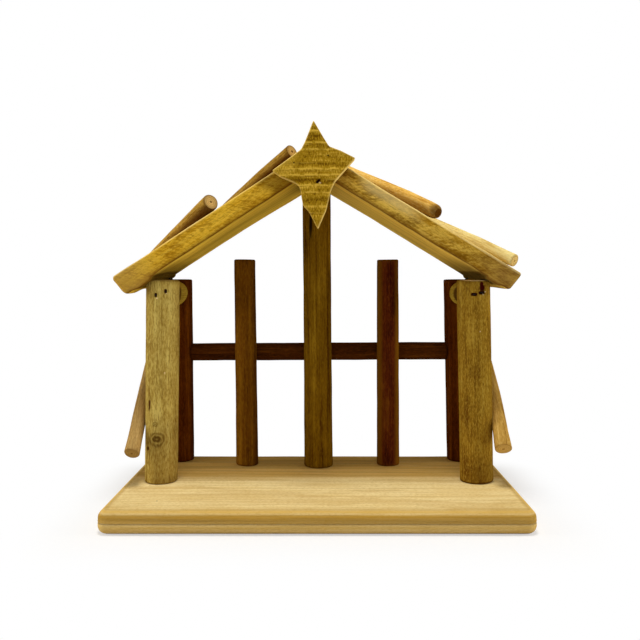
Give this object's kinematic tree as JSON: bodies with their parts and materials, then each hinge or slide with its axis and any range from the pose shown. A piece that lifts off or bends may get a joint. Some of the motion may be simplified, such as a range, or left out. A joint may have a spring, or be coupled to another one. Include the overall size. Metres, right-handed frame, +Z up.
{
  "type": "nativity stable",
  "caption": "Rustic wooden nativity stable with round log posts, a rail-fence back, a board roof with slanting sticks and a sawn star on a rounded base board.",
  "frame": {"origin": "middle of the base board's underside", "axes": "+Z up, +X to the right seen from the open front, +Y from the open front towards the back wall"},
  "size_m": [0.3116, 0.155, 0.2908],
  "materials": {
    "base_pine": "sanded pine board with a thin clear oil, grain along its length",
    "light_log": "peeled, sanded log, light tan with knots and fine streaks",
    "dark_log": "peeled log stained dark reddish brown",
    "roof_pine": "sawn and lightly sanded pine board, golden brown",
    "peeled_stick": "peeled round stick, smooth and matt",
    "sawn_star": "rough-sawn board with saw bands, pale sanded edges",
    "fastener_steel": "bright wire brads and zinc-plated screws"
  },
  "bodies": {
    "root": {"base_board": "base_pine", "front_post_left": "light_log", "front_post_right": "light_log", "rear_post_left": "dark_log", "rear_post_right": "dark_log", "side_beam_left": "light_log", "side_beam_right": "light_log", "ridge_beam": "light_log", "centre_post": "dark_log", "short_post_left": "dark_log", "short_post_right": "dark_log", "back_rail": "dark_log", "roof_board_left": "roof_pine", "roof_board_right": "roof_pine", "roof_stick_left_upper": "peeled_stick", "roof_stick_left_lower": "peeled_stick", "roof_stick_right_upper": "peeled_stick", "roof_stick_right_lower": "peeled_stick", "brace_left": "peeled_stick", "brace_right": "peeled_stick", "star": "sawn_star", "base_screws": "fastener_steel", "beam_brads": "fastener_steel", "rail_brads": "fastener_steel", "roof_brads": "fastener_steel", "stick_brads": "fastener_steel", "brace_brads": "fastener_steel", "star_brads": "fastener_steel"}
  },
  "joints": []
}
